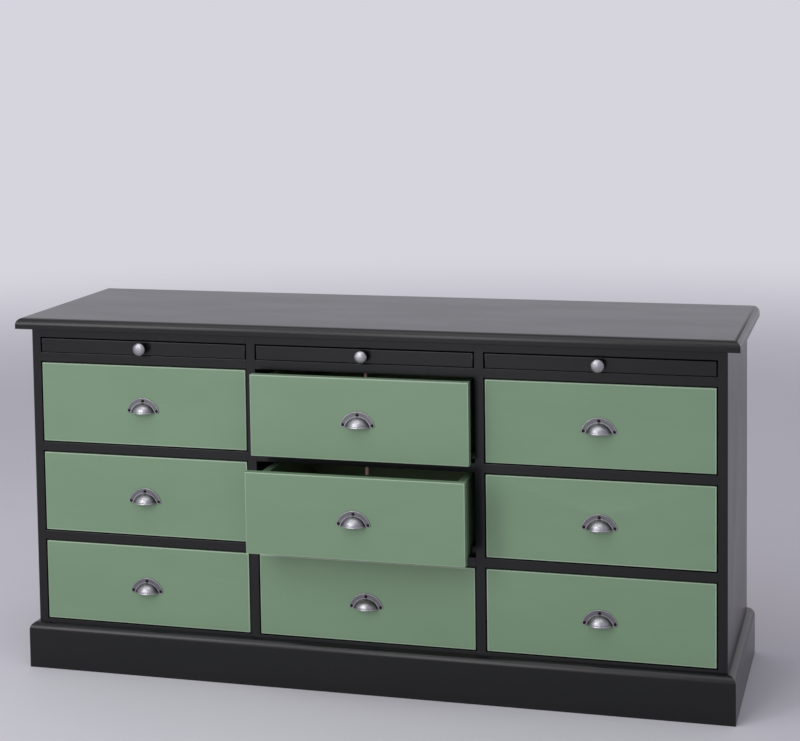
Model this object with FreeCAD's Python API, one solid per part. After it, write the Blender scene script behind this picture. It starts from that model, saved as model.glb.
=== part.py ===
import FreeCAD, Part
import math
import os
from FreeCAD import Vector

# Sideboard with nine inset drawers in three columns and a shallow pull-out tray over each column.
# Millimetres. The origin is on the floor at the middle of the back, the front faces -Y, +Z is up.

# Carcass
carcass_width = 1700.0
carcass_depth = 498.0
board = 22.0
opening_width = (carcass_width - 4 * board) / 3
column_pitch = opening_width + board
front_y = -carcass_depth

# Levels, from the floor up
plinth_height = 113.0
bottom_board_top = 120.5
drawer_opening_height = 201.6
tray_opening_height = 38.0
top_rail_height = 23.0
row_pitch = drawer_opening_height + board
tray_floor = bottom_board_top + 3 * row_pitch
tray_ceiling = tray_floor + tray_opening_height
carcass_top = tray_ceiling + top_rail_height

# Moulded boards
top_thickness = 26.5
top_overhang = 30.5
plinth_thickness = 20.0
edge_radius = 12.0
lower_arris = 1.5

# Inside the carcass
back_thickness = 6.0
back_rebate = 10.0
tongue_height = 6.0
rail_depth = 70.0
runner_width = 48.0
runner_housing = 5.0
guide_width = 18.0
guide_height = 20.0
guide_setback = 24.0
bearer_width = 44.0

# Drawer and tray fronts
front_thickness = 20.0
front_arris = 2.0
side_gap = 3.1
drawer_gap_below = 2.8
drawer_gap_above = 3.6
tray_gap_below = 0.8
tray_gap_above = 2.6
front_width = opening_width - 2 * side_gap

# Drawer boxes
drawer_length = 460.0
box_half_width = opening_width / 2 - guide_width - 1.2
box_side_thickness = 18.0
box_side_height = 184.0
box_side_arris = 2.0
box_lift = 0.8
box_back_thickness = 18.0
box_back_inset = 8.0
housing_depth = 6.0
bottom_thickness = 6.0
bottom_rise = 12.0
panel_slack = 0.5

# Trays
tray_board_thickness = 15.0
tray_half_width = opening_width / 2 - 2.2
tray_lift = 0.6
batten_size = 18.0

# Stop pegs: one behind each rail holds a drawer or tray in
peg_radius = 4.5
peg_setback = 26.0
peg_into_rail = 16.0
peg_glue_line = 0.1
peg_sides = 12
drawer_peg_drop = 25.0
tray_peg_drop = 12.0

# Cup pull: an arched flange with an ear at each end, and a hood that is open below
pull_level = 85.5
ear_spacing = 72.0
ear_radius = 5.5
arch_height = 32.0
flange_thickness = 2.2
flange_bevel = 0.7
top_screw_height = 24.0
hood_half_width = 30.0
hood_radius = 22.5
mouth_drop = 4.0
hood_wall = 2.0
lip_height = 2.8
lip_proud = 1.3
arch_facets = 12
ear_facets = 3
hood_steps = 5
screw_head_radius = 3.5
screw_crown_radius = 2.1
screw_head_height = 1.5
screw_radius = 1.6
screw_length = 12.0
screw_clearance = 0.1
screw_sides = 8

# Turned knob: radius and distance from the front at the corners of its outline
knob_base = (8.5, 1.8)
knob_neck = (5.0, 8.0)
knob_shoulder = (16.0, 17.5)
knob_projection = 25.0
knob_facets = 4
knob_sides = 16
stud_radius = 2.2
stud_length = 14.0

# The drawers that stand ajar, and how far
ajar = {("top", "centre"): 48.9, ("middle", "centre"): 94.3}

column_names = ["left", "centre", "right"]
row_names = ["bottom", "middle", "top"]
hands = (-1, 1)

# Points, and coordinates, closer than these are taken as one
same_point = 1e-6
same_level = 1e-4

# Degrees
full_turn = 360.0


def column_x(column):
    return (column_names.index(column) - 1) * column_pitch


def row_floor(row):
    return bottom_board_top + row_names.index(row) * row_pitch


def slab(x0, x1, y0, y1, z0, z1):
    """Board between two corners, given in either order along X."""
    low = min(x0, x1)
    return Part.makeBox(abs(x1 - x0), y1 - y0, z1 - z0, Vector(low, y0, z0))


def near(a, b):
    return abs(a - b) < same_level


def edges_where(shape, test):
    """Edges whose two ends, as points a and b, pass the test."""
    found = []
    for edge in shape.Edges:
        ends = [v.Point for v in edge.Vertexes]
        if len(ends) == 2 and test(*ends):
            found.append(edge)
    return found


def cut_all(shape, tools):
    for tool in tools:
        shape = shape.cut(tool)
    return shape


def save(node, solids):
    shape = solids[0] if len(solids) == 1 else Part.makeCompound(solids)
    shape.exportStep("parts/" + node + ".step")


def frame_levels():
    """Underside and top of each frame of rails and runners, and of the kickers under the top."""
    levels = [(row_floor(row) - board, row_floor(row)) for row in ("middle", "top")]
    levels.append((tray_floor - board, tray_floor))
    levels.append((tray_ceiling, carcass_top))
    return levels


def make_top_board():
    half = carcass_width / 2 + top_overhang
    front = front_y - top_overhang
    top = carcass_top + top_thickness
    blank = slab(-half, half, front, 0, carcass_top, top)

    def outer_edges(shape, level):
        return edges_where(shape, lambda a, b: near(a.z, level) and near(b.z, level)
                           and (near(a.x, b.x) or near(a.y, front) and near(b.y, front)))

    rounded = blank.makeFillet(edge_radius, outer_edges(blank, top))
    return rounded.makeChamfer(lower_arris, outer_edges(rounded, carcass_top))


def runner_grooves(face_x, into):
    """Housings for the runners in one face of an upright; into is -1 or 1 along X."""
    return [slab(face_x, face_x + into * runner_housing, front_y + rail_depth, -back_thickness, z0, z1)
            for z0, z1 in frame_levels()]


def make_side(hand):
    outer = hand * carcass_width / 2
    inner = outer - hand * board
    underside = bottom_board_top - board
    panel = slab(outer, inner, front_y, 0, 0, carcass_top)
    rebate = slab(inner, inner + hand * back_rebate, -back_thickness, 0, underside, carcass_top)
    return cut_all(panel, [rebate] + runner_grooves(inner, hand))


def divider_tongue(hand):
    middle = hand * column_pitch / 2
    return slab(middle - board / 2, middle + board / 2, front_y + board, -back_thickness,
                bottom_board_top - tongue_height, bottom_board_top)


def make_divider(hand):
    middle = hand * column_pitch / 2
    left, right = middle - board / 2, middle + board / 2
    panel = slab(left, right, front_y, -back_thickness, bottom_board_top, carcass_top)
    panel = panel.fuse(divider_tongue(hand)).removeSplitter()
    return cut_all(panel, runner_grooves(left, 1) + runner_grooves(right, -1))


def make_bottom_board():
    half = carcass_width / 2 - board
    panel = slab(-half, half, front_y, -back_thickness, bottom_board_top - board, bottom_board_top)
    return cut_all(panel, [divider_tongue(hand) for hand in hands])


def make_back_panel():
    half = carcass_width / 2 - board + back_rebate
    return slab(-half, half, -back_thickness, 0, bottom_board_top - board, carcass_top)


def flat_face(corners):
    """Face on a ring of points, some of which may fall together."""
    ring = [p for i, p in enumerate(corners) if p.distanceToPoint(corners[i - 1]) > same_point]
    return Part.Face(Part.makePolygon(ring + ring[:1]))


def turned(outline, sides, sweep=full_turn):
    """Solid in flat facets: an outline of (radius, height) points turned about Z from +X.

    The outline starts and ends on the axis.
    """
    rings = []
    for side in range(sides + 1):
        angle = math.radians(sweep * side / sides)
        rings.append([Vector(r * math.cos(angle), r * math.sin(angle), z) for r, z in outline])
    faces = []
    for ring, following in zip(rings, rings[1:]):
        for i in range(len(outline) - 1):
            corners = [ring[i], ring[i + 1], following[i + 1], following[i]]
            moved = ring[i].distanceToPoint(following[i]) + ring[i + 1].distanceToPoint(following[i + 1])
            if moved > same_point:
                faces.append(flat_face(corners))
    if sweep < full_turn:
        faces += [flat_face(rings[0]), flat_face(rings[-1])]
    shell = Part.Shell(faces)
    shell.sewShape()
    solid = Part.Solid(shell).removeSplitter()
    if solid.Volume < 0:
        solid.reverse()
    return solid


def bar(radius, length, foot, sides):
    """Upright round bar that stands on its foot point."""
    shape = turned([(0, 0), (radius, 0), (radius, length), (0, length)], sides)
    shape.translate(foot)
    return shape


def stop_peg(column, rail_underside, drop, radius=peg_radius):
    foot = Vector(column_x(column), front_y + peg_setback, rail_underside - drop)
    return bar(radius, drop + peg_into_rail, foot, peg_sides)


def peg_drop(rail_underside):
    return tray_peg_drop if near(rail_underside, tray_ceiling) else drawer_peg_drop


def make_stop_pegs():
    return [stop_peg(column, underside, peg_drop(underside))
            for column in column_names for underside, _ in frame_levels()]


def make_front_rails():
    solids = []
    for column in column_names:
        left = column_x(column) - opening_width / 2
        right = column_x(column) + opening_width / 2
        for z0, z1 in frame_levels():
            rail = slab(left, right, front_y, front_y + rail_depth, z0, z1)
            hole = stop_peg(column, z0, peg_drop(z0), peg_radius + peg_glue_line)
            solids.append(rail.cut(hole))
    return solids


def make_runners():
    """A runner each side of every column at each level, and a rail across the back under the top."""
    solids = []
    for column in column_names:
        for hand in hands:
            wall = column_x(column) + hand * opening_width / 2
            for z0, z1 in frame_levels():
                solids.append(slab(wall + hand * runner_housing, wall - hand * runner_width,
                                   front_y + rail_depth, -back_thickness, z0, z1))
        reach = opening_width / 2 - runner_width
        solids.append(slab(column_x(column) - reach, column_x(column) + reach, -back_thickness - rail_depth,
                           -back_thickness, tray_ceiling, carcass_top))
    return solids


def make_guides():
    """Strips that stand on the runners and keep each drawer box running straight."""
    solids = []
    for column in column_names:
        for hand in hands:
            wall = column_x(column) + hand * opening_width / 2
            for row in row_names:
                z0 = row_floor(row)
                solids.append(slab(wall, wall - hand * guide_width, front_y + guide_setback, -back_thickness,
                                   z0, z0 + guide_height))
    return solids


def mitre_wedge(hand, third):
    """Half of a plinth corner's square, on one side of its mitre."""
    half = carcass_width / 2
    inner = Vector(hand * half, front_y, 0)
    outer = inner + Vector(hand * plinth_thickness, -plinth_thickness, 0)
    return Part.Face(Part.makePolygon([inner, outer, third, inner])).extrude(Vector(0, 0, plinth_height))


def make_plinth_front():
    half = carcass_width / 2 + plinth_thickness
    front = front_y - plinth_thickness
    blank = slab(-half, half, front, front_y, 0, plinth_height)
    top_edge = edges_where(blank, lambda a, b: near(a.z, plinth_height) and near(b.z, plinth_height)
                           and near(a.y, front) and near(b.y, front))
    rounded = blank.makeFillet(edge_radius, top_edge)
    return cut_all(rounded, [mitre_wedge(hand, Vector(hand * half, front_y, 0)) for hand in hands])


def make_plinth_sides():
    half = carcass_width / 2 + plinth_thickness
    front = front_y - plinth_thickness
    solids = []
    for hand in hands:
        blank = slab(hand * (half - plinth_thickness), hand * half, front, 0, 0, plinth_height)
        top_edge = edges_where(blank, lambda a, b: near(a.z, plinth_height) and near(b.z, plinth_height)
                               and near(a.x, hand * half) and near(b.x, hand * half))
        rounded = blank.makeFillet(edge_radius, top_edge)
        solids.append(rounded.cut(mitre_wedge(hand, Vector(hand * (half - plinth_thickness), front, 0))))
    return solids


def make_plinth_back():
    half = carcass_width / 2 - board
    return slab(-half, half, -board, 0, 0, bottom_board_top - board)


def make_bearers():
    """Cross bearers on the floor under the dividers."""
    return [slab(hand * column_pitch / 2 - bearer_width / 2, hand * column_pitch / 2 + bearer_width / 2,
                 front_y, -board, 0, bottom_board_top - board) for hand in hands]


def front_panel(z0, z1):
    """Inset front with its four front edges rounded, on the middle column."""
    half = front_width / 2
    blank = slab(-half, half, front_y, front_y + front_thickness, z0, z1)
    rim = edges_where(blank, lambda a, b: near(a.y, front_y) and near(b.y, front_y))
    return blank.makeFillet(front_arris, rim)


def box_side(hand, z0):
    outer = hand * box_half_width
    inner = outer - hand * box_side_thickness
    start = front_y + front_thickness - housing_depth
    end = front_y + drawer_length
    side = slab(outer, inner, start, end, z0, z0 + box_side_height)
    top = z0 + box_side_height
    long_edges = edges_where(side, lambda a, b: near(a.z, top) and near(b.z, top) and near(a.x, b.x))
    return side.makeChamfer(box_side_arris, long_edges)


def box_back(z0):
    reach = box_half_width - box_side_thickness + housing_depth
    rear = front_y + drawer_length - box_back_inset
    return slab(-reach, reach, rear - box_back_thickness, rear, z0 + bottom_rise + bottom_thickness,
                z0 + box_side_height)


def bottom_groove(z0, slack=0.0):
    """Room for the drawer bottom: in grooves at the front and sides, and under the back."""
    reach = box_half_width - box_side_thickness + housing_depth - slack
    start = front_y + front_thickness - housing_depth + slack
    end = front_y + drawer_length
    return slab(-reach, reach, start, end, z0 + bottom_rise, z0 + bottom_rise + bottom_thickness)


def pull_points():
    """Screw places on the face of a drawer front, as X and height over the ears."""
    return [(-ear_spacing / 2, 0.0), (ear_spacing / 2, 0.0), (0.0, top_screw_height)]


def arch_points(half_width, height):
    """Points along a round arch, from its left foot over to its right foot."""
    radius = (half_width ** 2 + height ** 2) / (2 * height)
    reach = math.asin(half_width / radius)
    angles = [reach * (2 * i / arch_facets - 1) for i in range(arch_facets + 1)]
    return [(radius * math.sin(a), height - radius * (1 - math.cos(a))) for a in angles]


def upright(points, level):
    return [Vector(x, level + y, 0) for x, y in points]


def hood_block(half_width, radius):
    """Quarter turn of a round arch about its foot line."""
    block = turned([(r, x) for x, r in arch_points(half_width, radius)], hood_steps, full_turn / 4)
    # A third of a turn about the cube's diagonal takes Z to X, X to Y and Y to Z
    block.rotate(Vector(0, 0, 0), Vector(1, 1, 1), full_turn / 3)
    return block


def pull_flange():
    """Arched plate with a round ear at each end, lying face up. Between the ears it ends at the mouth."""
    end = ear_spacing / 2
    arch = upright(arch_points(end + ear_radius, arch_height), 0)
    sweep = math.pi - math.asin(mouth_drop / ear_radius)
    turns = [sweep * (i + 1) / ear_facets for i in range(ear_facets)]
    right_ear = [Vector(end + ear_radius * math.cos(a), -ear_radius * math.sin(a), 0) for a in turns]
    left_ear = [Vector(-p.x, p.y, 0) for p in reversed(right_ear)]
    plate = flat_face(arch + right_ear + left_ear).extrude(Vector(0, 0, flange_thickness))
    rim = edges_where(plate, lambda a, b: near(a.z, flange_thickness) and near(b.z, flange_thickness))
    return plate.makeChamfer(flange_bevel, rim)


def make_pull():
    """Cup pull, made face up and stood on the front of the middle column."""
    mouth = Vector(0, -mouth_drop, 0)
    outer = hood_block(hood_half_width, hood_radius)
    inner = hood_block(hood_half_width - hood_wall, hood_radius - hood_wall)
    lip_outline = upright(arch_points(hood_half_width + lip_proud, hood_radius + lip_proud), 0)
    lip = flat_face(lip_outline).extrude(Vector(0, 0, -lip_height))
    lip.rotate(Vector(0, 0, 0), Vector(1, 0, 0), 90)
    for shape in (outer, inner, lip):
        shape.translate(mouth)
    body = pull_flange().fuse([outer, lip]).cut(inner)
    for x, y in pull_points():
        body = body.cut(bar(screw_radius + screw_clearance, flange_thickness, Vector(x, y, 0), screw_sides))
    return body.removeSplitter()


def make_screw(x, y):
    crown = flange_thickness + screw_head_height
    tip = flange_thickness - screw_length
    outline = [(0, tip), (screw_radius, tip), (screw_radius, flange_thickness),
               (screw_head_radius, flange_thickness), (screw_crown_radius, crown), (0, crown)]
    screw = turned(outline, screw_sides)
    screw.translate(Vector(x, y, 0))
    return screw


def stand_up(shape, level):
    """Turn what was made face up to face the front, with its zero on the front's surface."""
    shape.rotate(Vector(0, 0, 0), Vector(1, 0, 0), 90)
    shape.translate(Vector(0, front_y, level))
    return shape


def drawer_pieces(row):
    """Solids of one closed drawer of the middle column, by node stem."""
    z0 = row_floor(row) + box_lift
    low = row_floor(row) + drawer_gap_below
    front = front_panel(low, row_floor(row) + drawer_opening_height - drawer_gap_above)
    sides = [box_side(hand, z0) for hand in hands]
    groove = bottom_groove(z0)
    front = cut_all(front, sides + [groove])
    back = box_back(z0)
    sides = [side.cut(groove).cut(back) for side in sides]
    level = low + pull_level
    screws = [stand_up(make_screw(x, y), level) for x, y in pull_points()]
    for x, y in pull_points():
        depth = screw_length - flange_thickness
        hole = bar(screw_radius + screw_clearance, depth, Vector(x, y, -depth), screw_sides)
        front = front.cut(stand_up(hole, level))
    return {
        "drawer_front": [front],
        "drawer_box": sides + [back],
        "drawer_bottom": [bottom_groove(z0, panel_slack)],
        "cup_pull": [stand_up(make_pull(), level)] + screws,
    }


def make_knob():
    """Turned knob and its stud, axis along Z, face up: a foot, a hollow neck and a domed crown."""
    neck_r, neck_z = knob_neck
    shoulder_r, shoulder_z = knob_shoulder
    rise = knob_projection - shoulder_z
    crown_radius = (shoulder_r ** 2 + rise ** 2) / (2 * rise)
    crown_angle = math.asin(shoulder_r / crown_radius)
    steps = [i / knob_facets for i in range(knob_facets + 1)]
    flare = [(shoulder_r - (shoulder_r - neck_r) * math.cos(t * math.pi / 2),
              neck_z + (shoulder_z - neck_z) * math.sin(t * math.pi / 2)) for t in steps]
    crown = [(crown_radius * math.sin(crown_angle * (1 - t)),
              knob_projection - crown_radius * (1 - math.cos(crown_angle * (1 - t)))) for t in steps[1:]]
    foot = [(0, -stud_length), (stud_radius, -stud_length), (stud_radius, 0), (knob_base[0], 0), knob_base]
    return turned(foot + flare + crown, knob_sides)


def tray_pieces():
    """Solids of one closed tray of the middle column, by node stem."""
    z0 = tray_floor + tray_lift
    rear = front_y + drawer_length
    tray = slab(-tray_half_width, tray_half_width, front_y + front_thickness - housing_depth, rear,
                z0, z0 + tray_board_thickness)
    batten = slab(-tray_half_width, tray_half_width, rear - batten_size, rear,
                  z0 + tray_board_thickness, z0 + tray_board_thickness + batten_size)
    front = front_panel(tray_floor + tray_gap_below, tray_ceiling - tray_gap_above).cut(tray)
    level = (tray_floor + tray_ceiling) / 2
    stud_hole = bar(stud_radius + screw_clearance, stud_length, Vector(0, 0, -stud_length), knob_sides)
    return {
        "tray_board": [tray, batten],
        "tray_front": [front.cut(stand_up(stud_hole, level))],
        "tray_knob": [stand_up(make_knob(), level)],
    }


def placed(solids, move):
    copies = [solid.copy() for solid in solids]
    for copy in copies:
        copy.translate(move)
    return copies


os.makedirs("parts", exist_ok=True)

save("top_board", [make_top_board()])
save("side_left", [make_side(-1)])
save("side_right", [make_side(1)])
save("divider_left", [make_divider(-1)])
save("divider_right", [make_divider(1)])
save("bottom_board", [make_bottom_board()])
save("back_panel", [make_back_panel()])
save("front_rails", make_front_rails())
save("runners", make_runners())
save("guides", make_guides())
save("stop_pegs", make_stop_pegs())
save("plinth_front", [make_plinth_front()])
save("plinth_sides", make_plinth_sides())
save("plinth_back", [make_plinth_back()])
save("plinth_bearers", make_bearers())

for row in row_names:
    pieces = drawer_pieces(row)
    for column in column_names:
        move = Vector(column_x(column), -ajar.get((row, column), 0.0), 0)
        for stem, solids in pieces.items():
            save(f"{stem}_{row}_{column}", placed(solids, move))

tray = tray_pieces()
for column in column_names:
    for stem, solids in tray.items():
        save(f"{stem}_{column}", placed(solids, Vector(column_x(column), 0, 0)))
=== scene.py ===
import bpy
import bmesh
import math
from mathutils import Matrix, Vector


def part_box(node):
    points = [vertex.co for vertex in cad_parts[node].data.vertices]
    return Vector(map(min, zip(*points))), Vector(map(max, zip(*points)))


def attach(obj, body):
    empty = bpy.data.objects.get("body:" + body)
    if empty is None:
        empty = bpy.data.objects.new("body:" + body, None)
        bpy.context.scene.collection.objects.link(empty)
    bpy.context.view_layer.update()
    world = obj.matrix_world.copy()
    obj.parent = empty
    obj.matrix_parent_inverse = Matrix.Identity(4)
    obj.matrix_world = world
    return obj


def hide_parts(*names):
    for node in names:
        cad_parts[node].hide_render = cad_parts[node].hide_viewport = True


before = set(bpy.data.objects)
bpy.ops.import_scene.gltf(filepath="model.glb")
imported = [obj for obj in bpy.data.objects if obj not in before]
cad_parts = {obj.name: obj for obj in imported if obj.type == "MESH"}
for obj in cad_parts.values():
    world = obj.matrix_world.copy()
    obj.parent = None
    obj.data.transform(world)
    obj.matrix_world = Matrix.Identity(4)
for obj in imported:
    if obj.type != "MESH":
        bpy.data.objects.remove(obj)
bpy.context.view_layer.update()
mm = 0.001
rows = ["bottom", "middle", "top"]
columns = ["left", "centre", "right"]


# Camera

photoView = {
    "place": (1.24707, -4.6797, 1.59519),
    "yaw": 15.37,            # degrees, turned left of straight on
    "pitch": -4.47,
    "roll": -0.76,
    "focalLength": 1876.4,   # in pixels of the picture
    "horizonCentre": (400, 167.3),   # pixel straight ahead of the lens
    "picture": (800, 741),
    "sensor": 36,
}


def makeCamera(view):
    yaw, pitch, roll = (math.radians(view[key]) for key in ("yaw", "pitch", "roll"))
    ahead = Vector((-math.sin(yaw) * math.cos(pitch), math.cos(yaw) * math.cos(pitch), math.sin(pitch)))
    level = Vector((math.cos(yaw), math.sin(yaw), 0))
    above = level.cross(ahead)
    right = level * math.cos(roll) + above * math.sin(roll)
    up = above * math.cos(roll) - level * math.sin(roll)
    width, height = view["picture"]
    data = bpy.data.cameras.new("photoCamera")
    data.sensor_width = view["sensor"]
    data.lens = view["focalLength"] * view["sensor"] / width
    data.shift_x = (width / 2 - view["horizonCentre"][0]) / width
    data.shift_y = (view["horizonCentre"][1] - height / 2) / width
    camera = bpy.data.objects.new("photoCamera", data)
    bpy.context.collection.objects.link(camera)
    turn = Matrix((right, up, -ahead)).transposed().to_4x4()
    camera.matrix_world = Matrix.Translation(view["place"]) @ turn
    bpy.context.scene.camera = camera


makeCamera(photoView)
print("camera placed")


# Materials

def colour(hexCode):
    # sRGB hex to the linear values that the sockets take
    channels = [int(hexCode[i:i + 2], 16) / 255 for i in (1, 3, 5)]
    return [c / 12.92 if c <= 0.04045 else ((c + 0.055) / 1.055) ** 2.4 for c in channels] + [1]


def addNode(tree, kind, values=None, links=None, **settings):
    node = tree.nodes.new(kind)
    for name, value in settings.items():
        setattr(node, name, value)
    for socket, value in (values or {}).items():
        node.inputs[socket].default_value = value
    for socket, source in (links or {}).items():
        tree.links.new(source, node.inputs[socket])
    return node


def startMaterial(name, **finish):
    material = bpy.data.materials.new(name)
    material.use_nodes = True
    tree = material.node_tree
    shader = tree.nodes["Principled BSDF"]
    for socket, value in finish.items():
        shader.inputs[socket.replace("_", " ")].default_value = value
    place = addNode(tree, "ShaderNodeTexCoord").outputs["Object"]
    return material, tree, shader, place


def feed(tree, shader, tint, roughness, normal=None):
    tree.links.new(tint, shader.inputs["Base Color"])
    tree.links.new(roughness, shader.inputs["Roughness"])
    if normal:
        tree.links.new(normal, shader.inputs["Normal"])


def blend(tree, amount, first, second):
    # mixes two hex colours by a 0 to 1 output
    return addNode(tree, "ShaderNodeMix", {6: colour(first), 7: colour(second)}, {0: amount},
                   data_type="RGBA").outputs[2]


def spread(tree, source, low, high, middle=(0.35, 0.65)):
    # takes a noise's middle range to low..high
    return addNode(tree, "ShaderNodeMapRange",
                   {"From Min": middle[0], "From Max": middle[1], "To Min": low, "To Max": high},
                   {"Value": source}).outputs["Result"]


def addShare(tree, extra, share, source):
    # the source with a share of another output added
    return addNode(tree, "ShaderNodeMath", {1: share}, {0: extra, 2: source},
                   operation="MULTIPLY_ADD").outputs[0]


def combined(tree, first, second, operation):
    return addNode(tree, "ShaderNodeMath", links={0: first, 1: second}, operation=operation).outputs[0]


def stretched(tree, place, axis, across, along):
    # object coordinates in grain widths: short across the grain and long along it
    scale = [1 / across] * 3
    scale["xyz".index(axis)] = 1 / along
    return addNode(tree, "ShaderNodeMapping", {"Scale": scale}, {"Vector": place}).outputs["Vector"]


def noise(tree, place, detail=3.0, rough=0.5):
    return addNode(tree, "ShaderNodeTexNoise", {"Scale": 1.0, "Detail": detail, "Roughness": rough},
                   {"Vector": place}).outputs["Fac"]


def relief(tree, height, strength, depth, under=None):
    links = {"Height": height}
    if under:
        links["Normal"] = under
    bump = addNode(tree, "ShaderNodeBump", {"Strength": strength, "Distance": depth}, links)
    return bump.outputs["Normal"]


paintLook = {
    "grainWidth": 2.4 * mm,      # softwood grain that shows faintly through the coats
    "grainLength": 160 * mm,
    "grainShare": 0.35,
    "grainDepth": 0.035 * mm,
    "mottleWidth": 90 * mm,      # slow drift in the colour
    "mottleLength": 270 * mm,
    "stipple": 1.1 * mm,         # spray texture, drawn a little coarse so that it shows
    "stippleDepth": 0.015 * mm,
    "middle": (0.5, 0.85),       # range of the mixed noises
    "glossier": 0.012,
    "duller": 0.015,
    "relief": 0.5,
}


def satinPaint(name, coat, grainAxis, look):
    # sprayed satin lacquer on pine: an even colour, a soft sheen and a trace of the grain beneath
    material, tree, shader, place = startMaterial(name, IOR=coat["index"])
    grain = noise(tree, stretched(tree, place, grainAxis, look["grainWidth"], look["grainLength"]))
    mottle = noise(tree, stretched(tree, place, grainAxis, look["mottleWidth"], look["mottleLength"]), 2.0)
    stipple = noise(tree, stretched(tree, place, grainAxis, look["stipple"], look["stipple"]), 1.0)
    mixed = addShare(tree, grain, look["grainShare"], mottle)
    tint = blend(tree, spread(tree, mixed, 0, 1, look["middle"]), coat["base"], coat["drift"])
    sheen = spread(tree, mixed, coat["roughness"] - look["glossier"], coat["roughness"] + look["duller"],
                   look["middle"])
    fine = relief(tree, stipple, look["relief"], look["stippleDepth"])
    feed(tree, shader, tint, sheen, relief(tree, grain, look["relief"], look["grainDepth"], fine))
    return material


woodLook = {
    "index": 1.45,
    "bandRoughness": 0.4,    # of the noise that draws the bands
    "poresPerRing": 8,
    "poresPerLength": 10,
    "poreShare": 0.4,
    "middle": (0.55, 0.85),  # range of the mixed noises
    "roughness": (0.56, 0.7),
    "relief": 0.4,
    "depth": 0.15 * mm,
}
woodKinds = {   # name: pale and dark wood, way of the grain, ring width, grain length
    "planedPine": ("#C9A878", "#A98152", "y", 7 * mm, 220 * mm),
    "birchPlywood": ("#D0B48E", "#C5A67C", "x", 6 * mm, 260 * mm),
    "backPlywood": ("#AC8D66", "#A08059", "x", 7 * mm, 300 * mm),
    "turnedBeech": ("#AF938B", "#9B7F78", "z", 1.6 * mm, 20 * mm),
}


def bareWood(name, kind, look):
    # planed timber: pale early wood and darker late wood in long bands, with fine pores between them
    pale, dark, grainAxis, ring, length = kind
    material, tree, shader, place = startMaterial(name, IOR=look["index"])
    bands = noise(tree, stretched(tree, place, grainAxis, ring, length), 2.0, look["bandRoughness"])
    pores = noise(tree, stretched(tree, place, grainAxis, ring / look["poresPerRing"],
                                  length / look["poresPerLength"]), 2.0)
    mixed = addShare(tree, pores, look["poreShare"], bands)
    tint = blend(tree, spread(tree, mixed, 0, 1, look["middle"]), pale, dark)
    feed(tree, shader, tint, spread(tree, pores, *look["roughness"]),
         relief(tree, mixed, look["relief"], look["depth"]))
    return material


pewterLook = {
    "bright": "#B6B5B9",
    "worn": "#858489",
    # dark of the patina in the corners, also used for the painted dark reflection on the pull hoods
    "patinaAndDarkReflection": "#131215",
    "recess": 3.0 * mm,      # how far the dark patina reaches out of a corner
    "proudRange": (0.5, 0.95),   # openness of a spot, from all patina to all metal
    "mottle": 3.5 * mm,
    "mottleRange": (0.35, 0.7),
    "mottleShare": 0.35,
    "leastClean": 0.08,      # share of metal that shows where nothing was rubbed
    "rubRange": (0.15, 1.0),
    "roughness": (0.36, 0.44),
    "gritWidth": 0.5 * mm,   # brushed cast surface, drawn coarse so that it shows
    "gritLength": 1.5 * mm,
    "gritDepth": 0.03 * mm,
    "relief": 0.3,
}


def antiquePewter(name, look):
    # cast zinc, plated, blackened and rubbed back: bright where it stands proud and black in the corners
    material, tree, shader, place = startMaterial(name, Metallic=1.0)
    mottle = noise(tree, stretched(tree, place, "x", look["mottle"], look["mottle"]), 4.0, 0.6)
    grit = noise(tree, stretched(tree, place, "x", look["gritWidth"], look["gritLength"]), 2.0)
    corner = addNode(tree, "ShaderNodeAmbientOcclusion", {"Distance": look["recess"]},
                     samples=8, only_local=True).outputs["AO"]
    # per point: how far the finish is rubbed back, less the painted dark reflection on the pull hoods' ends
    # and root
    rubAndReflection = addNode(tree, "ShaderNodeAttribute", attribute_name="rubAndPaintedReflection").outputs["Fac"]
    metal = blend(tree, spread(tree, mottle, 0, 1, look["mottleRange"]), look["bright"], look["worn"])
    uneven = addShare(tree, mottle, look["mottleShare"], rubAndReflection)
    proud = spread(tree, corner, 0, 1, look["proudRange"])
    clean = combined(tree, proud, spread(tree, uneven, look["leastClean"], 1, look["rubRange"]), "MULTIPLY")
    final = addNode(tree, "ShaderNodeMix", {6: colour(look["patinaAndDarkReflection"])}, {0: clean, 7: metal},
                    data_type="RGBA").outputs[2]
    feed(tree, shader, final, spread(tree, mottle, *look["roughness"]),
         relief(tree, grit, look["relief"], look["gritDepth"]))
    return material


steelLook = {
    "black": "#0D0D0E",
    "worn": "#1D1B1A",
    "metallic": 0.7,
    "wear": 1.2 * mm,
    "roughness": (0.4, 0.6),
}


def blackenedSteel(name, look):
    # screw heads: oil-blackened, nearly matt, a little browner where a driver has turned them
    material, tree, shader, place = startMaterial(name, Metallic=look["metallic"])
    wear = noise(tree, stretched(tree, place, "x", look["wear"], look["wear"]), 3.0)
    feed(tree, shader, blend(tree, spread(tree, wear, 0, 1), look["black"], look["worn"]),
         spread(tree, wear, *look["roughness"]))
    return material


blackCoat = {"base": "#111214", "drift": "#0E0F10", "roughness": 0.25, "index": 1.4}
sageCoat = {"base": "#749072", "drift": "#718D6F", "roughness": 0.44, "index": 1.5}
# a paler green on each front's rounded arris and the thin ring beside it: a painted highlight, where the
# edge catches the light
arrisHighlightCoat = {"base": "#9AAF98", "drift": "#95AA93", "roughness": 0.42, "index": 1.5}
paints = {}
for axis in "xyz":
    paints["black", axis] = satinPaint("satinBlackLacquer_" + axis, blackCoat, axis, paintLook)
    paints["green", axis] = satinPaint("satinSageLacquer_" + axis, sageCoat, axis, paintLook)
sageArrisHighlight = satinPaint("satinSageLacquer_arrisHighlight", arrisHighlightCoat, "x", paintLook)
woods = {name: bareWood(name, kind, woodLook) for name, kind in woodKinds.items()}
pewter = antiquePewter("antiquePewter", pewterLook)
screwBlack = blackenedSteel("blackenedSteel", steelLook)
print("materials made:", len(bpy.data.materials))


# Modelling helpers

weldGap = 0.005 * mm   # points closer than this become one


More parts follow.
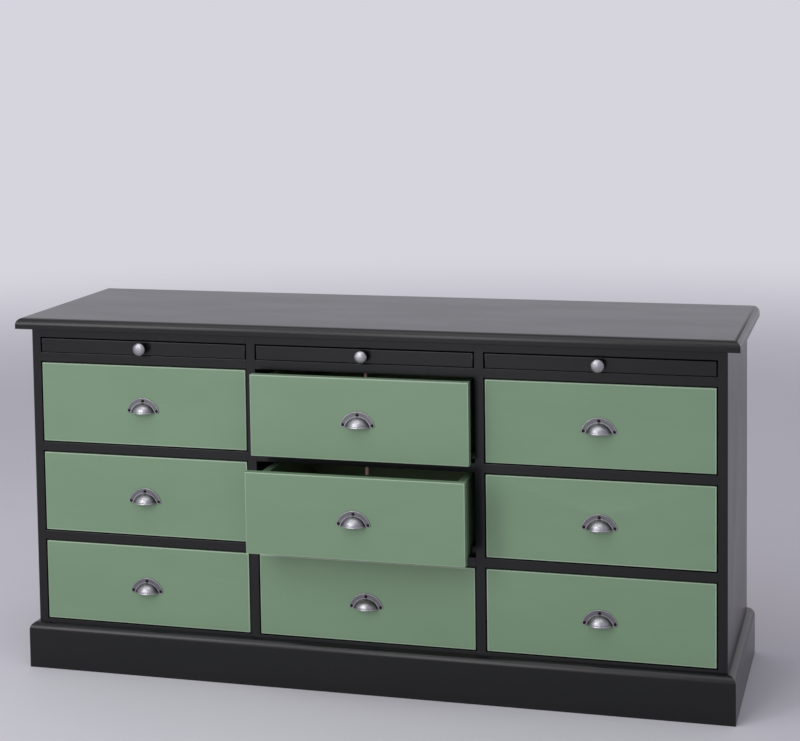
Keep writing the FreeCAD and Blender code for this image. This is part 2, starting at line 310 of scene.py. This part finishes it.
def makeActive(piece):
    if bpy.context.object and bpy.context.object.mode != "OBJECT":
        bpy.ops.object.mode_set(mode="OBJECT")
    bpy.ops.object.select_all(action="DESELECT")
    piece.select_set(True)
    bpy.context.view_layer.objects.active = piece


def settle(piece):
    # puts the object at the origin, with its place in its mesh
    makeActive(piece)
    bpy.ops.object.transform_apply(location=True, rotation=True, scale=True)
    return piece


def block(name, low, high):
    bpy.ops.object.select_all(action="DESELECT")
    bpy.ops.mesh.primitive_cube_add(size=1, location=(Vector(low) + Vector(high)) / 2)
    piece = bpy.context.object
    piece.name = name
    piece.scale = Vector(high) - Vector(low)
    return settle(piece)


def disc(name, radius, thickness, centre, steps):
    # round plate that faces the front
    bpy.ops.object.select_all(action="DESELECT")
    bpy.ops.mesh.primitive_cylinder_add(vertices=steps, radius=1, depth=thickness,
                                        rotation=(math.pi / 2, 0, 0))
    piece = settle(bpy.context.object)
    piece.name = name
    piece.scale = (radius, 1, radius)
    piece.location = centre
    return settle(piece)


def pick(piece, kind, test):
    # edit mode with the edges or faces that pass the test selected
    makeActive(piece)
    bpy.ops.object.mode_set(mode="EDIT")
    bpy.ops.mesh.select_mode(type=kind)
    bpy.ops.mesh.select_all(action="DESELECT")
    mesh = bmesh.from_edit_mesh(piece.data)
    for part in mesh.edges if kind == "EDGE" else mesh.faces:
        part.select_set(test(part))
    mesh.select_flush_mode()
    bmesh.update_edit_mesh(piece.data)


def leaveEdit():
    bpy.ops.object.mode_set(mode="OBJECT")


def near(a, b, within=0.02 * mm):
    return abs(a - b) < within


def edgeLies(edge, along=None, x=None, y=None, z=None):
    # whether an edge runs along an axis and both its ends have these coordinates
    a, b = (v.co for v in edge.verts)
    for value, axis in ((x, 0), (y, 1), (z, 2)):
        if value is not None and not (near(a[axis], value) and near(b[axis], value)):
            return False
    if along is None:
        return True
    return all(near(a[i], b[i]) for i in range(3) if i != "xyz".index(along))


def bevelPicked(width, steps):
    bpy.ops.mesh.bevel(offset=width, segments=steps, profile=0.5, affect="EDGES")
    leaveEdit()


def cutAway(piece, point, normal):
    # removes what lies on the normal's side of a plane and closes the cut
    makeActive(piece)
    bpy.ops.object.mode_set(mode="EDIT")
    bpy.ops.mesh.select_all(action="SELECT")
    bpy.ops.mesh.bisect(plane_co=point, plane_no=normal, use_fill=True, clear_outer=True)
    leaveEdit()


def applyModifier(piece, kind, **settings):
    makeActive(piece)
    modifier = piece.modifiers.new(kind, kind)
    for name, value in settings.items():
        setattr(modifier, name, value)
    bpy.ops.object.modifier_apply(modifier=modifier.name)


def combine(piece, tool, how):
    applyModifier(piece, "BOOLEAN", object=tool, operation=how, solver="EXACT")
    bpy.data.objects.remove(tool, do_unlink=True)


def smooth(piece, degrees=32):
    # rounded edges shade round while the flats between them stay flat
    makeActive(piece)
    bpy.ops.object.shade_smooth_by_angle(angle=math.radians(degrees))
    applyModifier(piece, "WEIGHTED_NORMAL", mode="FACE_AREA", weight=50, keep_sharp=True)


def finishPiece(piece, material, node, bodyName):
    if not piece.data.materials:
        piece.data.materials.append(material)
    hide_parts(node)
    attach(piece, bodyName)


def mergedCopy(node, name):
    # a copy of a CAD node's mesh, its loose triangles joined and its flats made whole
    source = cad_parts[node]
    piece = bpy.data.objects.new(name, source.data.copy())
    piece.data.materials.clear()
    bpy.context.collection.objects.link(piece)
    makeActive(piece)
    bpy.ops.object.mode_set(mode="EDIT")
    bpy.ops.mesh.select_all(action="SELECT")
    bpy.ops.mesh.remove_doubles(threshold=weldGap)
    bpy.ops.mesh.dissolve_limited(angle_limit=math.radians(0.5))
    leaveEdit()
    return piece


# Top board: rounded along the front and both ends, with its lower arris just broken

topEdge = {"radius": 16 * mm, "steps": 14, "arris": 1.5 * mm, "arrisSteps": 3}


def makeTopBoard(spec):
    low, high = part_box("top_board")
    board = block("topBoard", low, high)

    def outer(edge, level):
        return edgeLies(edge, "y", z=level) or edgeLies(edge, "x", y=low.y, z=level)

    pick(board, "EDGE", lambda edge: outer(edge, high.z))
    bevelPicked(spec["radius"], spec["steps"])
    pick(board, "EDGE", lambda edge: outer(edge, low.z))
    bevelPicked(spec["arris"], spec["arrisSteps"])
    smooth(board)
    finishPiece(board, paints["black", "x"], "top_board", "carcass")


makeTopBoard(topEdge)
print("top board made")


# Plinth: boards applied round the front and both ends, rounded above and mitred at the corners

plinthEdge = {"radius": 18 * mm, "steps": 14}


def makePlinth(spec):
    frontLow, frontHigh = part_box("plinth_front")
    sideLow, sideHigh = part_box("plinth_sides")
    thick = frontHigh.y - frontLow.y
    boards = [block("plinthFrontBoard", frontLow, frontHigh)]
    pick(boards[0], "EDGE", lambda edge: edgeLies(edge, "x", y=frontLow.y, z=frontHigh.z))
    bevelPicked(spec["radius"], spec["steps"])
    for hand in (-1, 1):
        corner = Vector((hand * (frontHigh.x - thick), frontHigh.y, 0))
        mitre = Vector((hand, 1, 0))
        cutAway(boards[0], corner, mitre)
        outerX = hand * sideHigh.x
        start = Vector((min(outerX, outerX - hand * thick), sideLow.y, sideLow.z))
        end = Vector((max(outerX, outerX - hand * thick), sideHigh.y, sideHigh.z))
        side = block("plinthEndBoard", start, end)
        pick(side, "EDGE", lambda edge: edgeLies(edge, "y", x=outerX, z=sideHigh.z))
        bevelPicked(spec["radius"], spec["steps"])
        cutAway(side, corner, -mitre)
        boards.append(side)
    makeActive(boards[1])
    boards[2].select_set(True)
    bpy.ops.object.join()
    boards[1].name = "plinthEndBoards"
    for board, node in zip(boards[:2], ("plinth_front", "plinth_sides")):
        smooth(board)
        finishPiece(board, paints["black", "xy"[boards.index(board)]], node, "carcass")


makePlinth(plinthEdge)
print("plinth made")


# Case: boards with slightly eased front edges, as sanding leaves them under the lacquer

caseArris = {"width": 0.8 * mm, "steps": 2}
caseBoards = {   # node: the way its grain and its eased edges run
    "side_left": "z", "side_right": "z", "divider_left": "z", "divider_right": "z",
    "bottom_board": "x", "front_rails": "x",
}


def makeCase(boards, spec):
    for node, grain in boards.items():
        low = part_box(node)[0]
        board = mergedCopy(node, node + "_eased")
        pick(board, "EDGE", lambda edge: edgeLies(edge, grain, y=low.y) and edge.is_manifold)
        bevelPicked(spec["width"], spec["steps"])
        smooth(board)
        finishPiece(board, paints["black", grain], node, "carcass")


makeCase(caseBoards, caseArris)
print("case boards made")


# Drawers and trays: fronts with rounded arrises, and the boxes behind them

frontArris = {
    "radius": 2 * mm,
    # width of the ring beside the rounded edge that also takes the painted highlight
    "onFace": 0.7 * mm,
    "flat": -0.999,       # faces with less than this along Y look straight ahead
    "leastTurn": -0.05,   # and with less than this at least a little ahead
}


def onRim(face, low, high, spec):
    # whether a face is part of the rounded edge or of the line beside it, which take the painted highlight
    x, z = face.center.x, face.center.z
    fromEdge = min(x - low.x, high.x - x, z - low.z, high.z - z)
    inEdge = fromEdge < spec["radius"] + spec["onFace"] and face.center.y < low.y + spec["radius"]
    return inEdge and face.normal.y < spec["leastTurn"]


def makeFront(node, bodyName, material, arrisHighlightMaterial, spec):
    low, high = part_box(node)
    large = 0.5 * (high.x - low.x) * (high.z - low.z)
    piece = mergedCopy(node, node + "_rounded")
    pick(piece, "FACE", lambda face: face.normal.y < spec["flat"] and face.calc_area() > large)
    # the inset ring beside the rounded edge carries the painted highlight
    bpy.ops.mesh.inset(thickness=spec["onFace"], depth=0)
    leaveEdit()
    smooth(piece)
    piece.data.materials.append(material)
    # the rounded edge and its ring get the paler green of the painted highlight
    if arrisHighlightMaterial:
        piece.data.materials.append(arrisHighlightMaterial)
        for face in piece.data.polygons:
            face.material_index = int(onRim(face, low, high, spec))
    finishPiece(piece, material, node, bodyName)


boxArris = {"width": 0.6 * mm, "steps": 2, "within": 3 * mm, "smoothTo": 50}


def makeBox(tag, bodyName, spec):
    node = "drawer_box_" + tag
    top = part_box(node)[1].z

    def upper(edge):
        side = edgeLies(edge, "y") and min(v.co.z for v in edge.verts) > top - spec["within"]
        return side or edgeLies(edge, "x", z=top)

    piece = mergedCopy(node, node + "_eased")
    pick(piece, "EDGE", upper)
    bevelPicked(spec["width"], spec["steps"])
    smooth(piece, spec["smoothTo"])
    finishPiece(piece, paints["green", "y"], node, bodyName)


for row in rows:
    for column in columns:
        tag = f"{row}_{column}"
        body = "drawer_" + tag
        makeFront("drawer_front_" + tag, body, paints["green", "x"], sageArrisHighlight, frontArris)
        makeBox(tag, body, boxArris)
for column in columns:
    body = "tray_" + column
    makeFront("tray_front_" + column, body, paints["black", "x"], None, frontArris)
print("drawers and trays made")


# Cup pull, modelled about the middle of its screw line on the front's surface: it stands out along -Y

pull = {
    "earSpacing": 72 * mm,
    "earRadius": 5.5 * mm,
    "archHeight": 32 * mm,
    "mouthDrop": 4 * mm,         # from the screw line down to the hood's mouth
    "flange": 2.2 * mm,
    "flangeBevel": 0.7 * mm,
    "flangeSteps": 3,
    "rim": 1.8 * mm,             # raised border left round the flange's face
    "innerRim": 2.2 * mm,        # and the one left round the hood
    "bandDepth": 0.45 * mm,
    "hood": (30 * mm, 22.5 * mm),    # half width and reach
    "wall": 2 * mm,
    "quirk": 0.9 * mm,           # dark groove where the hood rises from the flange
    "quirkDepth": 0.9 * mm,
    "lipHeight": 2.8 * mm,
    "lipProud": 1.3 * mm,
    "lipSlope": 0.9 * mm,        # its band leans back by this much, so it faces a little upward
    "lipRound": 0.6 * mm,
    "lipSteps": 5,
    "lipDrop": 0.15 * mm,        # below the flange's foot
    "ease": 0.4 * mm,            # keeps the solids' faces out of each other's planes
    "past": 12,                  # degrees that the hollow is turned past the hood at both ends
    "topScrew": 24 * mm,
    "steps": 96,
    "hoodSteps": 28,
    "smoothTo": 34,
}
screw = {
    "head": 3.5 * mm,
    "rise": 1.5 * mm,
    "sides": 32,
    "dome": 1.1 * mm,
    "domeSteps": 5,
    "slot": 0.9 * mm,
    "slotDepth": 0.8 * mm,
    "slotReach": 1.1,            # head radii that the slot's cutter reaches from the middle
    "sunk": 0.3 * mm,
    "angles": (20, 75, -35),
}
pullWearAndReflection = {   # how far the dark finish is rubbed back, from 0 to 1, less the painted dark reflection at the hood's ends and root
    "border": 0.95,
    "band": 0.32,
    "slack": 0.2 * mm,           # how far a point may lie off a level and still count as on it
    "lip": 1.1,
    "lipEndReflection": (0.7, 3),         # painted dark reflection on the lip: loss at the hood's two ends, and the power it grows by
    "crown": 0.9,
    # painted dark reflection on the hood: loss at its two ends, and the power it grows by
    "endReflection": (0.9, 2.2),
    "rootReflection": (0.8, 4),        # painted dark reflection: loss up to the flange
}


def archOutline(halfWidth, height, base):
    # round arch over a straight foot; the turn goes anticlockwise from its right foot
    radius = (halfWidth ** 2 + height ** 2) / (2 * height)
    reach = math.asin(halfWidth / radius)

    def place(turn):
        if turn < 0:
            return halfWidth * (1 + 2 * turn / math.pi), base
        angle = reach * (1 - 2 * turn / math.pi)
        return radius * math.sin(angle), base + height - radius * (1 - math.cos(angle))

    return place


def flangeOutline(spec, inset):
    # the arch runs down into a round ear at each end, and the ears into a straight foot between them
    end, ear = spec["earSpacing"] / 2, spec["earRadius"] - inset
    foot = spec["mouthDrop"] - inset
    arch = archOutline(end + ear, spec["archHeight"] - inset, 0)
    sweep = math.pi - math.asin(foot / ear)
    earShare = math.pi / 3

    def place(turn):
        if turn >= 0:
            return arch(turn)
        side = 1 if turn > -math.pi / 2 else -1
        below = -turn if side > 0 else math.pi + turn    # angle under the level, from either end
        if below < earShare:
            angle = sweep * below / earShare
            return side * (end + ear * math.cos(angle)), -ear * math.sin(angle)
        inner = end + ear * math.cos(sweep)
        return side * inner * (math.pi / 2 - below) / (math.pi / 2 - earShare), -foot

    return place


flatTurn = 1e-4   # radians within which a point of a blank counts as on its foot's line


def drawOut(piece, outline, level=None):
    # takes the rim of a round blank to an outline, or only its ring at one level along Y
    for vertex in piece.data.vertices:
        if level is not None and not near(vertex.co.y, level):
            continue
        turn = math.atan2(vertex.co.z, vertex.co.x)
        if near(abs(turn), math.pi, flatTurn) or near(turn, 0, flatTurn):
            turn = abs(turn)
        vertex.co.x, vertex.co.z = outline(turn)
    return piece


def plate(name, outline, thickness, y, steps):
    return drawOut(disc(name, 1, thickness, (0, y, 0), steps), outline)


def hoodBlock(name, halfWidth, reach, spec, past, ease):
    # an arch turned about its own foot from the drawer front down to the mouth, and past both by an angle;
    # ease moves the foot in from both planes so that no faces coincide with the flange's
    foot = Vector((0, -ease, ease - spec["mouthDrop"]))
    bpy.ops.object.select_all(action="DESELECT")
    bpy.ops.mesh.primitive_circle_add(vertices=spec["steps"], radius=1, fill_type="NGON",
                                      rotation=(math.pi / 2, 0, 0))
    piece = drawOut(settle(bpy.context.object), archOutline(halfWidth, reach - ease, 0))
    piece.name = name
    piece.data.transform(Matrix.Translation(foot) @ Matrix.Rotation(-past, 4, "X"))
    makeActive(piece)
    bpy.ops.object.mode_set(mode="EDIT")
    bpy.ops.mesh.select_all(action="SELECT")
    bpy.ops.mesh.spin(steps=spec["hoodSteps"], angle=-math.pi / 2 - 2 * past, center=foot, axis=(1, 0, 0))
    bpy.ops.mesh.select_all(action="SELECT")
    bpy.ops.mesh.remove_doubles(threshold=weldGap)
    bpy.ops.mesh.normals_make_consistent(inside=False)
    leaveEdit()
    return piece


def makeFlange(spec):
    thick, steps, base = spec["flange"], spec["steps"], -spec["mouthDrop"]
    halfWidth, reach = spec["hood"]
    body = plate("cupPull", flangeOutline(spec, 0), thick, -thick / 2, steps)
    pick(body, "EDGE", lambda edge: edgeLies(edge, y=-thick))
    bevelPicked(spec["flangeBevel"], spec["flangeSteps"])
    border = spec["innerRim"] + spec["quirk"]
    band = plate("band", flangeOutline(spec, spec["rim"]), 2 * spec["bandDepth"], -thick, steps)
    inside = archOutline(halfWidth + border, reach + border, base)
    combine(band, plate("inside", inside, 4 * thick, 0, steps), "DIFFERENCE")
    combine(body, band, "DIFFERENCE")
    quirk = archOutline(halfWidth + spec["quirk"], reach + spec["quirk"], base - mm)
    combine(body, plate("quirk", quirk, 2 * spec["quirkDepth"], -thick, steps), "DIFFERENCE")
    return body


def makeHood(spec):
    halfWidth, reach = spec["hood"]
    tall, lower = spec["lipHeight"], spec["lipProud"]
    upper = lower - spec["lipSlope"]
    hood = hoodBlock("hood", halfWidth, reach, spec, 0, spec["ease"])
    lip = disc("lip", 1, tall, (0, tall / 2, 0), spec["steps"])
    foot = 2 * spec["ease"]
    drawOut(lip, archOutline(halfWidth + lower, reach + lower - foot, foot), 0)
    drawOut(lip, archOutline(halfWidth + upper, reach + upper - foot, foot), tall)
    pick(lip, "EDGE", lambda edge: edgeLies(edge, y=0) or edgeLies(edge, y=tall))
    bevelPicked(spec["lipRound"], spec["lipSteps"])
    lip.rotation_euler = (math.pi / 2, 0, 0)
    lip.location = (0, 0, -spec["mouthDrop"] - spec["lipDrop"])
    combine(hood, settle(lip), "UNION")
    return hood


def makeScrew(spec, place, angle):
    x, z, face = place
    tall = spec["rise"] + spec["sunk"]
    head = disc("screw", spec["head"], tall, (x, face - tall / 2, z), spec["sides"])
    front = face - tall
    pick(head, "EDGE", lambda edge: edgeLies(edge, y=front))
    bevelPicked(spec["dome"], spec["domeSteps"])
    reach, half = spec["head"] * spec["slotReach"], spec["slot"] / 2
    slot = block("slot", (-reach, front - mm, -half), (reach, front + spec["slotDepth"], half))
    slot.rotation_euler = (0, math.radians(angle), 0)
    slot.location = (x, 0, z)
    combine(head, settle(slot), "DIFFERENCE")
    smooth(head)
    head.data.materials.append(screwBlack)
    return head


def rubAndPaintedReflection(piece, share):
    # how far the dark finish was rubbed back at each point, from 0 to 1, less any painted dark reflection
    amount = piece.data.attributes.new("rubAndPaintedReflection", "FLOAT", "POINT")
    for vertex, value in zip(piece.data.vertices, amount.data):
        value.value = max(0, min(1, share(vertex.co)))


def pullRubAndReflection(spec, wear):
    # the cloth reached the crown and the lip of the hood and the flange's borders; the darker ends of hood
    # and lip, and the hood's darker root by the flange, are painted dark reflection
    halfWidth = spec["hood"][0]
    base = -spec["mouthDrop"]
    slack = wear["slack"]
    lipReflectionLoss, lipReflectionPower = wear["lipEndReflection"]
    endReflectionLoss, endReflectionPower = wear["endReflection"]
    rootReflectionLoss, rootReflectionPower = wear["rootReflection"]

    def share(place):
        level = place.y + spec["flange"]     # 0 at the flange's face, and more behind it
        if level >= spec["bandDepth"] + slack:
            return 0
        if level > -slack:
            return wear["border"] if level < slack else wear["band"]
        # across and up set the painted dark reflection towards the hood's ends and its root
        across = abs(place.x) / halfWidth
        if place.z < base + spec["lipHeight"] + slack / 2:
            return wear["lip"] - lipReflectionLoss * across ** lipReflectionPower
        up = math.atan2(place.z - base, -place.y) / (math.pi / 2)    # 0 at the mouth, 1 at the flange
        return wear["crown"] - endReflectionLoss * across ** endReflectionPower - rootReflectionLoss * up ** rootReflectionPower

    return share


def makeMasterPull(spec, screwSpec, wear):
    body = makeFlange(spec)
    halfWidth, reach = (size - spec["wall"] for size in spec["hood"])
    combine(body, makeHood(spec), "UNION")
    hollow = hoodBlock("hollow", halfWidth, reach, spec, math.radians(spec["past"]), -spec["ease"])
    combine(body, hollow, "DIFFERENCE")
    smooth(body, spec["smoothTo"])
    rubAndPaintedReflection(body, pullRubAndReflection(spec, wear))
    body.data.materials.append(pewter)
    end = spec["earSpacing"] / 2
    face = -spec["flange"] + spec["bandDepth"] + screwSpec["sunk"]
    places = [(-end, 0, face), (0, spec["topScrew"], face), (end, 0, face)]
    screws = [makeScrew(screwSpec, place, angle) for place, angle in zip(places, screwSpec["angles"])]
    makeActive(body)
    for piece in screws:
        piece.select_set(True)
    bpy.ops.object.join()
    return body


def placeCopy(master, name, offset):
    copy = master.copy()
    copy.data = master.data.copy()
    copy.name = name
    copy.data.transform(Matrix.Translation(offset))
    bpy.context.collection.objects.link(copy)
    return copy


masterPull = makeMasterPull(pull, screw, pullWearAndReflection)
for row in rows:
    for column in columns:
        tag = f"{row}_{column}"
        low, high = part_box("cup_pull_" + tag)
        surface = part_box("drawer_front_" + tag)[0].y
        spot = Vector(((low.x + high.x) / 2, surface, high.z - pull["archHeight"]))
        copy = placeCopy(masterPull, "cupPull_" + tag, spot)
        finishPiece(copy, pewter, "cup_pull_" + tag, "drawer_" + tag)
bpy.data.objects.remove(masterPull, do_unlink=True)
print("cup pulls made")


# Knob: turned outline as (radius, distance from the tray front), spun about its own axis

knob = {
    "outline": [(0, 0), (8.5, 0), (8.5, 1.2), (7.6, 2.2), (5.6, 4.4), (5, 8), (6.2, 11.6), (9.8, 14.9),
                (14.2, 16.6), (15.6, 17.1), (16, 18.2), (15.4, 19.8), (13.4, 21.7), (12.8, 21.7),
                (12.2, 22.5), (8.6, 24.1), (4.6, 24.8), (4.0, 24.6), (3.2, 25), (0, 25)],
    "steps": 36,
    "smoothTo": 50,
    "face": 17 * mm,     # the rubbed face starts this far out
    "rubbedFace": 0.78,
    "rubbedBack": 0.3,
}


def makeMasterKnob(spec):
    bpy.ops.object.select_all(action="DESELECT")
    bpy.ops.mesh.primitive_plane_add(size=mm)
    piece = bpy.context.object
    bpy.ops.object.mode_set(mode="EDIT")
    bpy.ops.mesh.select_mode(type="VERT")
    bpy.ops.mesh.select_all(action="SELECT")
    bpy.ops.mesh.merge(type="CENTER")
    for (r0, d0), (r1, d1) in zip(spec["outline"], spec["outline"][1:]):
        bpy.ops.mesh.extrude_vertices_move(
            TRANSFORM_OT_translate={"value": ((r1 - r0) * mm, -(d1 - d0) * mm, 0)})
    bpy.ops.mesh.select_all(action="SELECT")
    bpy.ops.mesh.spin(steps=spec["steps"], angle=2 * math.pi, center=(0, 0, 0), axis=(0, 1, 0))
    bpy.ops.mesh.select_all(action="SELECT")
    bpy.ops.mesh.remove_doubles(threshold=weldGap)
    bpy.ops.mesh.normals_make_consistent(inside=False)
    leaveEdit()
    applyModifier(piece, "SUBSURF", levels=1, render_levels=1)
    smooth(piece, spec["smoothTo"])
    rubAndPaintedReflection(piece, lambda place: spec["rubbedFace"] if place.y < -spec["face"] else spec["rubbedBack"])
    piece.data.materials.append(pewter)
    return piece


masterKnob = makeMasterKnob(knob)
for column in columns:
    low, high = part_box("tray_knob_" + column)
    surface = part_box("tray_front_" + column)[0].y
    copy = placeCopy(masterKnob, "trayKnob_" + column,
                     Vector(((low.x + high.x) / 2, surface, (low.z + high.z) / 2)))
    finishPiece(copy, pewter, "tray_knob_" + column, "tray_" + column)
bpy.data.objects.remove(masterKnob, do_unlink=True)
print("knobs made")


# Stop pegs: round dowels with a softened tip

peg = {
    "radius": 4.5 * mm,
    "sides": 32,
    "tip": 1.2 * mm,
    "tipSteps": 3,
    "drop": 25 * mm,
    "trayDrop": 12 * mm,
    "into": 16 * mm,
    "setback": 26 * mm,      # behind the rail's face
    "drawerGap": 3.6 * mm,   # between a drawer front and the rail over it
    "trayGap": 2.6 * mm,
}


def makePegs(spec):
    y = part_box("front_rails")[0].y + spec["setback"]
    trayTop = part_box("tray_front_centre")[1].z
    levels = [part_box(f"drawer_front_{row}_left")[1].z + spec["drawerGap"] for row in rows]
    levels.append(trayTop + spec["trayGap"])
    pegs = []
    for column in columns:
        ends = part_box("drawer_front_bottom_" + column)
        x = (ends[0].x + ends[1].x) / 2
        for level in levels:
            drop = spec["trayDrop"] if level > trayTop else spec["drop"]
            length = drop + spec["into"]
            foot = level - drop
            bpy.ops.object.select_all(action="DESELECT")
            bpy.ops.mesh.primitive_cylinder_add(vertices=spec["sides"], radius=spec["radius"], depth=length,
                                                location=(x, y, foot + length / 2))
            dowel = settle(bpy.context.object)
            pick(dowel, "EDGE", lambda edge: edgeLies(edge, z=foot))
            bevelPicked(spec["tip"], spec["tipSteps"])
            smooth(dowel)
            pegs.append(dowel)
    makeActive(pegs[0])
    for dowel in pegs:
        dowel.select_set(True)
    bpy.ops.object.join()
    pegs[0].name = "stopPegs"
    finishPiece(pegs[0], woods["turnedBeech"], "stop_pegs", "carcass")


makePegs(peg)
print("stop pegs made")


# Nodes that keep their own shape and get their finish here

keptNodes = {"back_panel": woods["backPlywood"], "plinth_bearers": woods["planedPine"],
             "plinth_back": paints["black", "x"], "runners": paints["black", "y"],
             "guides": paints["black", "y"]}
for row in rows:
    for column in columns:
        keptNodes[f"drawer_bottom_{row}_{column}"] = woods["birchPlywood"]
for column in columns:
    keptNodes["tray_board_" + column] = paints["black", "x"]
for node, material in keptNodes.items():
    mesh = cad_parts[node].data
    mesh.materials.clear()
    mesh.materials.append(material)
print("finishes set on", len(keptNodes), "nodes")


# Floor, world and lamps

studio = {
    "floor": "#D8D7DD",
    "floorPatch": "#D3D2D9",
    "floorSize": 60,         # metres
    "patchSize": 0.8,
    "floorRoughness": 0.7,
    "backdrop": "#D6D4DD",
    "fade": (3.0, 8.0),      # metres from the object over which the floor passes into the backdrop
    "ambient": 0.66,         # share of the backdrop's light that falls on the object
    "lamps": [   # name, place, aim, width, height, watts
        ("keySoftbox", (-2.4, -4.1, 2.3), (0.0, -0.3, 0.5), 1.2, 3.0, 50),
        ("frontSoftbox", (-0.8, -4.8, 2.2), (0.0, -0.3, 0.5), 1.1, 3.4, 43),
        ("topSoftbox", (-0.4, -1.7, 3.6), (0.0, -0.4, 0.4), 3.4, 2.6, 33),
    ],
}


def seenRays(tree):
    # 1 for what the camera, a gloss or a glass shows, 0 for what lights the object
    rays = addNode(tree, "ShaderNodeLightPath")
    either = combined(tree, rays.outputs["Is Camera Ray"], rays.outputs["Is Glossy Ray"], "MAXIMUM")
    return combined(tree, either, rays.outputs["Is Transmission Ray"], "MAXIMUM")


def makeFloor(spec):
    # matt painted boards, even and pale, that pass into the backdrop's colour far from the object
    bpy.ops.object.select_all(action="DESELECT")
    bpy.ops.mesh.primitive_plane_add(size=spec["floorSize"])
    floor = bpy.context.object
    floor.name = "studioFloor"
    material, tree, shader, place = startMaterial("studioFloorPaint", Roughness=spec["floorRoughness"])
    patches = noise(tree, stretched(tree, place, "x", spec["patchSize"], spec["patchSize"]), 2.0)
    tree.links.new(blend(tree, patches, spec["floor"], spec["floorPatch"]), shader.inputs["Base Color"])
    away = addNode(tree, "ShaderNodeVectorMath", links={0: place}, operation="LENGTH").outputs["Value"]
    start, end = spec["fade"]
    faded = addNode(tree, "ShaderNodeMapRange", {"From Min": start, "From Max": end}, {"Value": away},
                    interpolation_type="SMOOTHSTEP").outputs["Result"]
    share = combined(tree, faded, seenRays(tree), "MULTIPLY")
    distance = addNode(tree, "ShaderNodeEmission", {"Color": colour(spec["backdrop"]), "Strength": 1.0})
    mixed = addNode(tree, "ShaderNodeMixShader",
                    links={0: share, 1: shader.outputs["BSDF"], 2: distance.outputs["Emission"]})
    tree.links.new(mixed.outputs["Shader"], tree.nodes["Material Output"].inputs["Surface"])
    floor.data.materials.append(material)


def makeStudio(spec):
    makeFloor(spec)
    world = bpy.data.worlds.new("studioWorld")
    bpy.context.scene.world = world
    world.use_nodes = True
    tree = world.node_tree
    background = tree.nodes["Background"]
    background.inputs["Color"].default_value = colour(spec["backdrop"])
    strength = addNode(tree, "ShaderNodeMapRange", {"To Min": spec["ambient"], "To Max": 1.0},
                       {"Value": seenRays(tree)})
    tree.links.new(strength.outputs["Result"], background.inputs["Strength"])
    for name, place, aim, width, height, watts in spec["lamps"]:
        data = bpy.data.lights.new(name, "AREA")
        data.shape = "RECTANGLE"
        data.size, data.size_y = width, height
        data.energy = watts
        lamp = bpy.data.objects.new(name, data)
        lamp.location = place
        lamp.rotation_euler = (Vector(aim) - Vector(place)).to_track_quat("-Z", "Y").to_euler()
        bpy.context.collection.objects.link(lamp)


makeStudio(studio)
bpy.context.scene.view_settings.view_transform = "Standard"
print("studio made")
